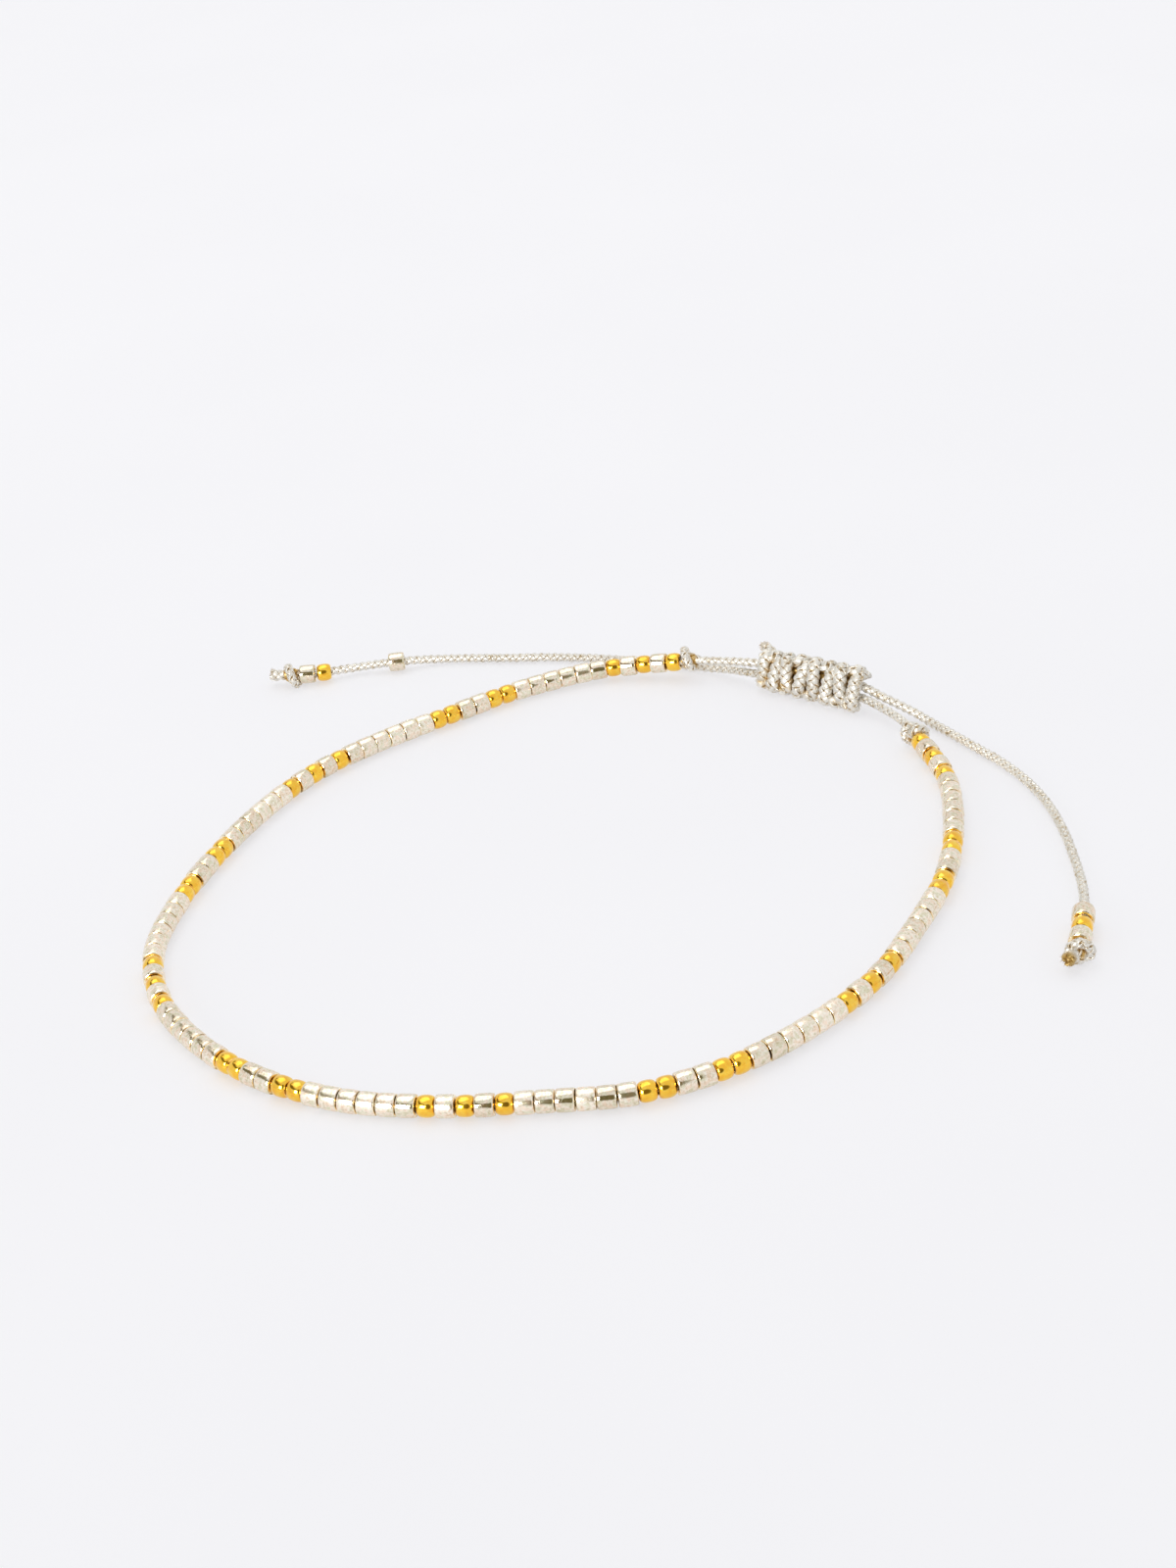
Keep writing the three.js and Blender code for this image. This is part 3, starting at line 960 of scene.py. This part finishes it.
# The loosened end swells up over this length, and stays so to its tip for this share of it more
SWELL_LENGTH = 1.1
SWELL_FULL = 0.3

# How far the brown of the cut goes and fades, the frayed end's radius as a share of the cord's
# diameter, and the steps of the braid that give its direction
END_TIP_REACH = 0.45
END_TIP_FADE = 0.3
END_FRAY_SHARE = 0.62
TIP_STEPS = 5


def add_end_knot(side, line, turn, shift, tip, swelling, browning):
    """The knot at the end of a tail, with its loosened and browned tip.

    turn and shift move its turns, and the tip is given right of, along and above its middle.
    """
    axes, centre = frame_at(line, length_of(line))
    through = [tuple(np.array(tip) * share) for share in TIP_SHARES]
    knot = knot_line(knot_points(turn, through, shift), axes, centre)
    from_tip = length_of(knot) - distances(knot)
    swell = 1 + swelling * np.clip(1 + SWELL_FULL - from_tip / SWELL_LENGTH, 0, 1)
    part = braid(knot, knot_recess_shade(axes, centre), KNOT_CORD, swell)
    part[2]["cut"] = browned(part[0], knot[-1], browning, END_TIP_REACH, END_TIP_FADE)
    nodes = [f"end_knot_{side}"]
    braided = add_piece(f"{side}_end_knot", part, braid_finish, nodes)
    direction = knot[-1] - knot[-1 - TIP_STEPS]
    fibres = frayed_fibres(knot[-1], direction, KNOT_CORD * END_FRAY_SHARE, SEED + len(side))
    frayed = add_piece(f"{side}_frayed_end", fibres, fibre_finish, nodes)
    return [braided, frayed]


left_knot = add_end_knot(
    "left",
    cord_left_line,
    turn=60,
    shift=(-0.12, -0.14, 0.0),
    tip=(0.35, 1.65, 0.0),
    swelling=0.4,
    browning=0.15,
)
right_knot = add_end_knot(
    "right",
    cord_right_line,
    turn=40,
    shift=(-0.2, 0.18, 0.05),
    tip=(0.42, 1.45, 0.1),
    swelling=0.5,
    browning=1.0,
)


# The two cords

# The painted warm shade in the recesses of the slide knot begins this far under its turns' crowns,
# is full this much deeper, and fades out over this much before its ends
CLOSURE_SHADE_START = 0.12
CLOSURE_SHADE_DEPTH = 0.34
CLOSURE_SHADE_FADE = 0.3


def slide_knot_recess_shade(points):
    """How deep any points lie between the turns of the slide knot, where warm shade is painted."""
    place = (points - closure_centre) @ closure_axes
    lean = np.array([math.cos(CORE_LEAN), -math.sin(CORE_LEAN)])
    upper = np.array([math.sin(CORE_LEAN), math.cos(CORE_LEAN)])
    back, rise = place[:, 1:] @ lean, place[:, 1:] @ upper
    past_cores = np.maximum(np.abs(rise) - CORE_SPACING / 2, 0)
    off = np.hypot(back, past_cores)
    inside = np.clip((CLOSURE_RADIUS - CLOSURE_SHADE_START - off) / CLOSURE_SHADE_DEPTH, 0, 1)
    from_end = CLOSURE_LENGTH / 2 - np.abs(place[:, 0])
    return inside * np.clip(from_end / CLOSURE_SHADE_FADE, 0, 1)


def add_cord(side, line):
    """A cord from its stop knot to its end knot."""
    path = spaced(line, BRAID_STEP, 0, length_of(line) - KNOT_REACH)
    part = braid(path, slide_knot_recess_shade)
    cord = add_piece(
        f"braided_cord_{side}", part, braid_finish, [f"cord_{side}"]
    )


add_cord("left", cord_left_line)
add_cord("right", cord_right_line)


# Slide knot: square knots of one more cord. One strand crosses in front and the other behind, and
# they hook over each other above and below the two cords inside.

# The working cord, and how much wider than high it lies
WORKING_CORD = 0.88
WORKING_SPREAD = 1.5

# How far a strand swings to either side, and the turns at which it begins and ends, the front one
# as True. Turns up to EVEN_TURNS lie a half knot's pitch apart, and those past it by END_PITCHES at
# the left and at the right.
TURN_REACH = math.radians(125)
FIRST_TURN = -4.05
LAST_TURNS = {True: 3.95, False: 3.3}
POINTS_PER_TURN = 14
EVEN_TURNS = 3
END_PITCHES = (0.5, 0.85)

# The knot's place along and above the middle of the closure, its shares of the solid's radius and
# of the height of its cores, and how softly it turns over them
SINNET_SHIFT = 0.35
SINNET_LIFT = 0.13
SINNET_GIRTH = 1.08
SINNET_HEIGHT = 1.25
CORNER_SOFTNESS = 0.12

# How the strands lean along the knot, dip in and pair up where they hook over each other
HOOK_SWING = -0.3
HOOK_DEPTH = 0.16
HOOK_PAIRING = 0.1

# Growth of the radius from turn to turn, and how much tighter the strands are before which turn
KNOT_TAPER = 0.035
DRAWN_TIGHT = 0.16
DRAWN_BEFORE = -2.6

# Unevenness along the knot and in its radius: size, pace and start, the front strand as True
PLACE_WAVER = (0.05, 2.3, 0.6)
RADIUS_WAVER = {True: (0.035, 1.7, 1), False: (0.035, 1.7, 3)}

# Points between two given ones of a strand or a cut tip
SINNET_PER_SPAN = 12

# The cut tips' cord, how brown they are, how far that goes and fades, and their frayed ends' radius
# as a share of the cord's diameter
CUT_TIP_CORD = 1.0
CUT_TIP_BROWN = 0.45
CUT_TIP_REACH = 0.4
CUT_TIP_FADE = 0.25
CUT_FRAY_SHARE = 0.45

# Ways of the two cut tips, given along the closure, back and up
CUT_TIPS = [
    [(-2.7, 0.0, 0.7), (-3.2, 0.45, 1.15), (-3.9, 0.85, 1.4), (-4.6, 1.15, 1.5)],
    [(3.0, -0.2, -0.3), (3.45, -0.6, -0.6), (3.85, -0.9, -0.8), (4.3, -1.15, -0.86)],
]


def waver(count, size, pace, start):
    return size * np.sin(pace * count + start)


def sinnet_strand(is_front):
    """The way of one working strand; whole counts of half knots are its turns, 0 the middle one."""
    last = LAST_TURNS[is_front]
    steps = round((last - FIRST_TURN) * POINTS_PER_TURN)
    count = np.linspace(FIRST_TURN, last, steps + 1)
    swing = np.cos(math.pi * count) * TURN_REACH
    angle = swing if is_front else math.pi + swing
    forward = count + HOOK_SWING * np.sin(math.tau * count) / math.tau
    full = np.clip(forward, -EVEN_TURNS, EVEN_TURNS)
    along = SINNET_SHIFT + full * HALF_KNOT_PITCH
    along = along + (forward - full) * np.where(forward < 0, *END_PITCHES)
    along = along - HOOK_PAIRING * np.sin(math.pi * count) + waver(count, *PLACE_WAVER)
    looseness = 1 + KNOT_TAPER * count + waver(count, *RADIUS_WAVER[is_front])
    looseness = looseness - DRAWN_TIGHT * np.clip(DRAWN_BEFORE - count, 0, 1)
    radius = (CLOSURE_RADIUS * SINNET_GIRTH - WORKING_CORD / 2) * looseness
    radius = radius + HOOK_DEPTH * np.sin(math.tau * count)
    rise = np.sin(angle)
    level = CORE_SPACING / 2 * SINNET_HEIGHT * rise / np.sqrt(rise**2 + CORNER_SOFTNESS)
    front = np.array([0, -math.cos(CORE_LEAN), math.sin(CORE_LEAN)])
    upper = np.array([0, math.sin(CORE_LEAN), math.cos(CORE_LEAN)])
    points = (
        (radius * np.cos(angle))[:, None] * front + (radius * rise + level)[:, None] * upper
    )
    points[:, 0] = along
    points[:, 2] += SINNET_LIFT
    return points


def slide_knot():
    axis = closure_axes[:, 0]
    flattened = np.eye(3) + (WORKING_SPREAD - 1) * np.outer(axis, axis)
    strands = [
        (sinnet_strand(True), WORKING_CORD, flattened),
        (sinnet_strand(False), WORKING_CORD, flattened),
        *[(tip, CUT_TIP_CORD, None) for tip in CUT_TIPS],
    ]
    parts = []
    for points, diameter, spread in strands:
        line = spaced(smooth_curve(in_closure(points), -np.inf, SINNET_PER_SPAN), BRAID_STEP)
        part = braid(line, slide_knot_recess_shade, diameter, spread=spread)
        browning = CUT_TIP_BROWN if spread is None else 0
        part[2]["cut"] = browned(part[0], line[-1], browning, CUT_TIP_REACH, CUT_TIP_FADE)
        parts.append(part)
    return joined(parts)


add_piece("braided_slide_knot", slide_knot(), braid_finish, ["slide_knot"])


def slide_knot_fibres():
    radius = CUT_TIP_CORD * CUT_FRAY_SHARE
    parts = []
    for number, points in enumerate(CUT_TIPS):
        root, tip = in_closure(points[-2:])
        parts.append(frayed_fibres(tip, tip - root, radius, SEED + number))
    return joined(parts)


add_piece(
    "slide_knot_cut_ends", slide_knot_fibres(), fibre_finish, ["slide_knot"]
)


# Table, world and light

# The table's size is in metres, and how far it lies under the bracelet in millimetres
TABLE_SIZE = 4.0
TABLE_DROP = 0.02
TABLE_COLOURS = [(0.3, (0.385, 0.385, 0.395)), (0.7, (0.4, 0.4, 0.41))]
TABLE_GLOW = (0.965, 0.965, 1.0, 1)
TABLE_GLOW_STRENGTH = 0.55


def add_table():
    half = TABLE_SIZE / 2
    corners = [(-half, -half, 0), (half, -half, 0), (half, half, 0), (-half, half, 0)]
    mesh = bpy.data.meshes.new("table")
    mesh.from_pydata(corners, [], [(0, 1, 2, 3)])
    table = bpy.data.objects.new("table", mesh)
    table.location.z = -TABLE_DROP * MM
    bpy.context.collection.objects.link(table)
    material, tree, shader = new_material("table_finish", 0.0, 0.85)
    colour = ramp(tree, noise(tree, 0.02, 2), TABLE_COLOURS)
    tree.links.new(colour, shader.inputs["Base Color"])
    shader.inputs["Emission Color"].default_value = TABLE_GLOW
    shader.inputs["Emission Strength"].default_value = TABLE_GLOW_STRENGTH
    mesh.materials.append(material)
    table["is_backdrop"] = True


ROOM_COLOUR = (0.96, 0.965, 0.98)
DIM_COLOUR = (0.21, 0.18, 0.09)
ROOM_STRENGTH = 0.92

# Direction of the dim side of the room, behind the camera, and how far round it reaches
DIM_SIDE = (0.0, -math.cos(math.radians(32)), math.sin(math.radians(32)))
DIM_EDGE = math.cos(math.radians(27))
DIM_MIDDLE = math.cos(math.radians(21))

# A dim edge over the bright left side: the way to it and the height at which it runs. It begins at
# the first and is full from the second of two shares of that way, and of two distances off that
# height. All are parts of a direction of length 1.
EDGE_SIDE = (-1.0, 0.0, 0.0)
EDGE_HEIGHT = math.sin(math.radians(45))
EDGE_REACH = (0.26, 0.36)
EDGE_WIDTH = (0.13, 0.08)


def add_world():
    """A bright room with two dim places, which the beads mirror as their dark stripes."""
    world = bpy.data.worlds.new("room")
    bpy.context.scene.world = world
    world.use_nodes = True
    tree = world.node_tree
    background = tree.nodes["Background"]
    direction = node(tree, "ShaderNodeTexCoord").outputs["Generated"]
    side = stretched(tree, dot_product(tree, direction, DIM_SIDE), DIM_EDGE, DIM_MIDDLE)
    reach = stretched(tree, dot_product(tree, direction, EDGE_SIDE), *EDGE_REACH)
    above = worked_out(tree, "SUBTRACT", dot_product(tree, direction, (0, 0, 1)), EDGE_HEIGHT)
    near = stretched(tree, worked_out(tree, "ABSOLUTE", above), *EDGE_WIDTH)
    edge = worked_out(tree, "MULTIPLY", reach, near)
    dim = worked_out(tree, "MAXIMUM", side, edge)
    colour = mixed(tree, dim, ROOM_COLOUR, DIM_COLOUR)
    tree.links.new(colour, background.inputs["Color"])
    background.inputs["Strength"].default_value = ROOM_STRENGTH


def add_softbox(name, place, size, energy, colour):
    """A rectangular lamp that faces the middle of the bracelet."""
    data = bpy.data.lights.new(name, "AREA")
    data.shape = "RECTANGLE"
    data.size = size[0]
    data.size_y = size[1]
    data.energy = energy
    data.color = colour
    light = bpy.data.objects.new(name, data)
    light.location = place
    light.rotation_euler = (-Vector(place)).to_track_quat("-Z", "Y").to_euler()
    bpy.context.collection.objects.link(light)
    return light


add_table()
add_world()
bpy.context.scene.view_settings.view_transform = "Standard"
add_softbox(
    "overhead_light",
    place=(-0.08, 0.16, 0.42),
    size=(0.42, 0.36),
    energy=0.4,
    colour=(1.0, 0.99, 0.97),
)
window = add_softbox(
    "left_window",
    place=(-0.27, -0.35, 0.215),
    size=(0.21, 0.21),
    energy=2.2,
    colour=(1.0, 1.0, 1.0),
)

# The window makes highlights only
window.visible_diffuse = False


boxes = {"cad": cad_box, "visual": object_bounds()}
{name: [list(corner) for corner in box] for name, box in boxes.items()}
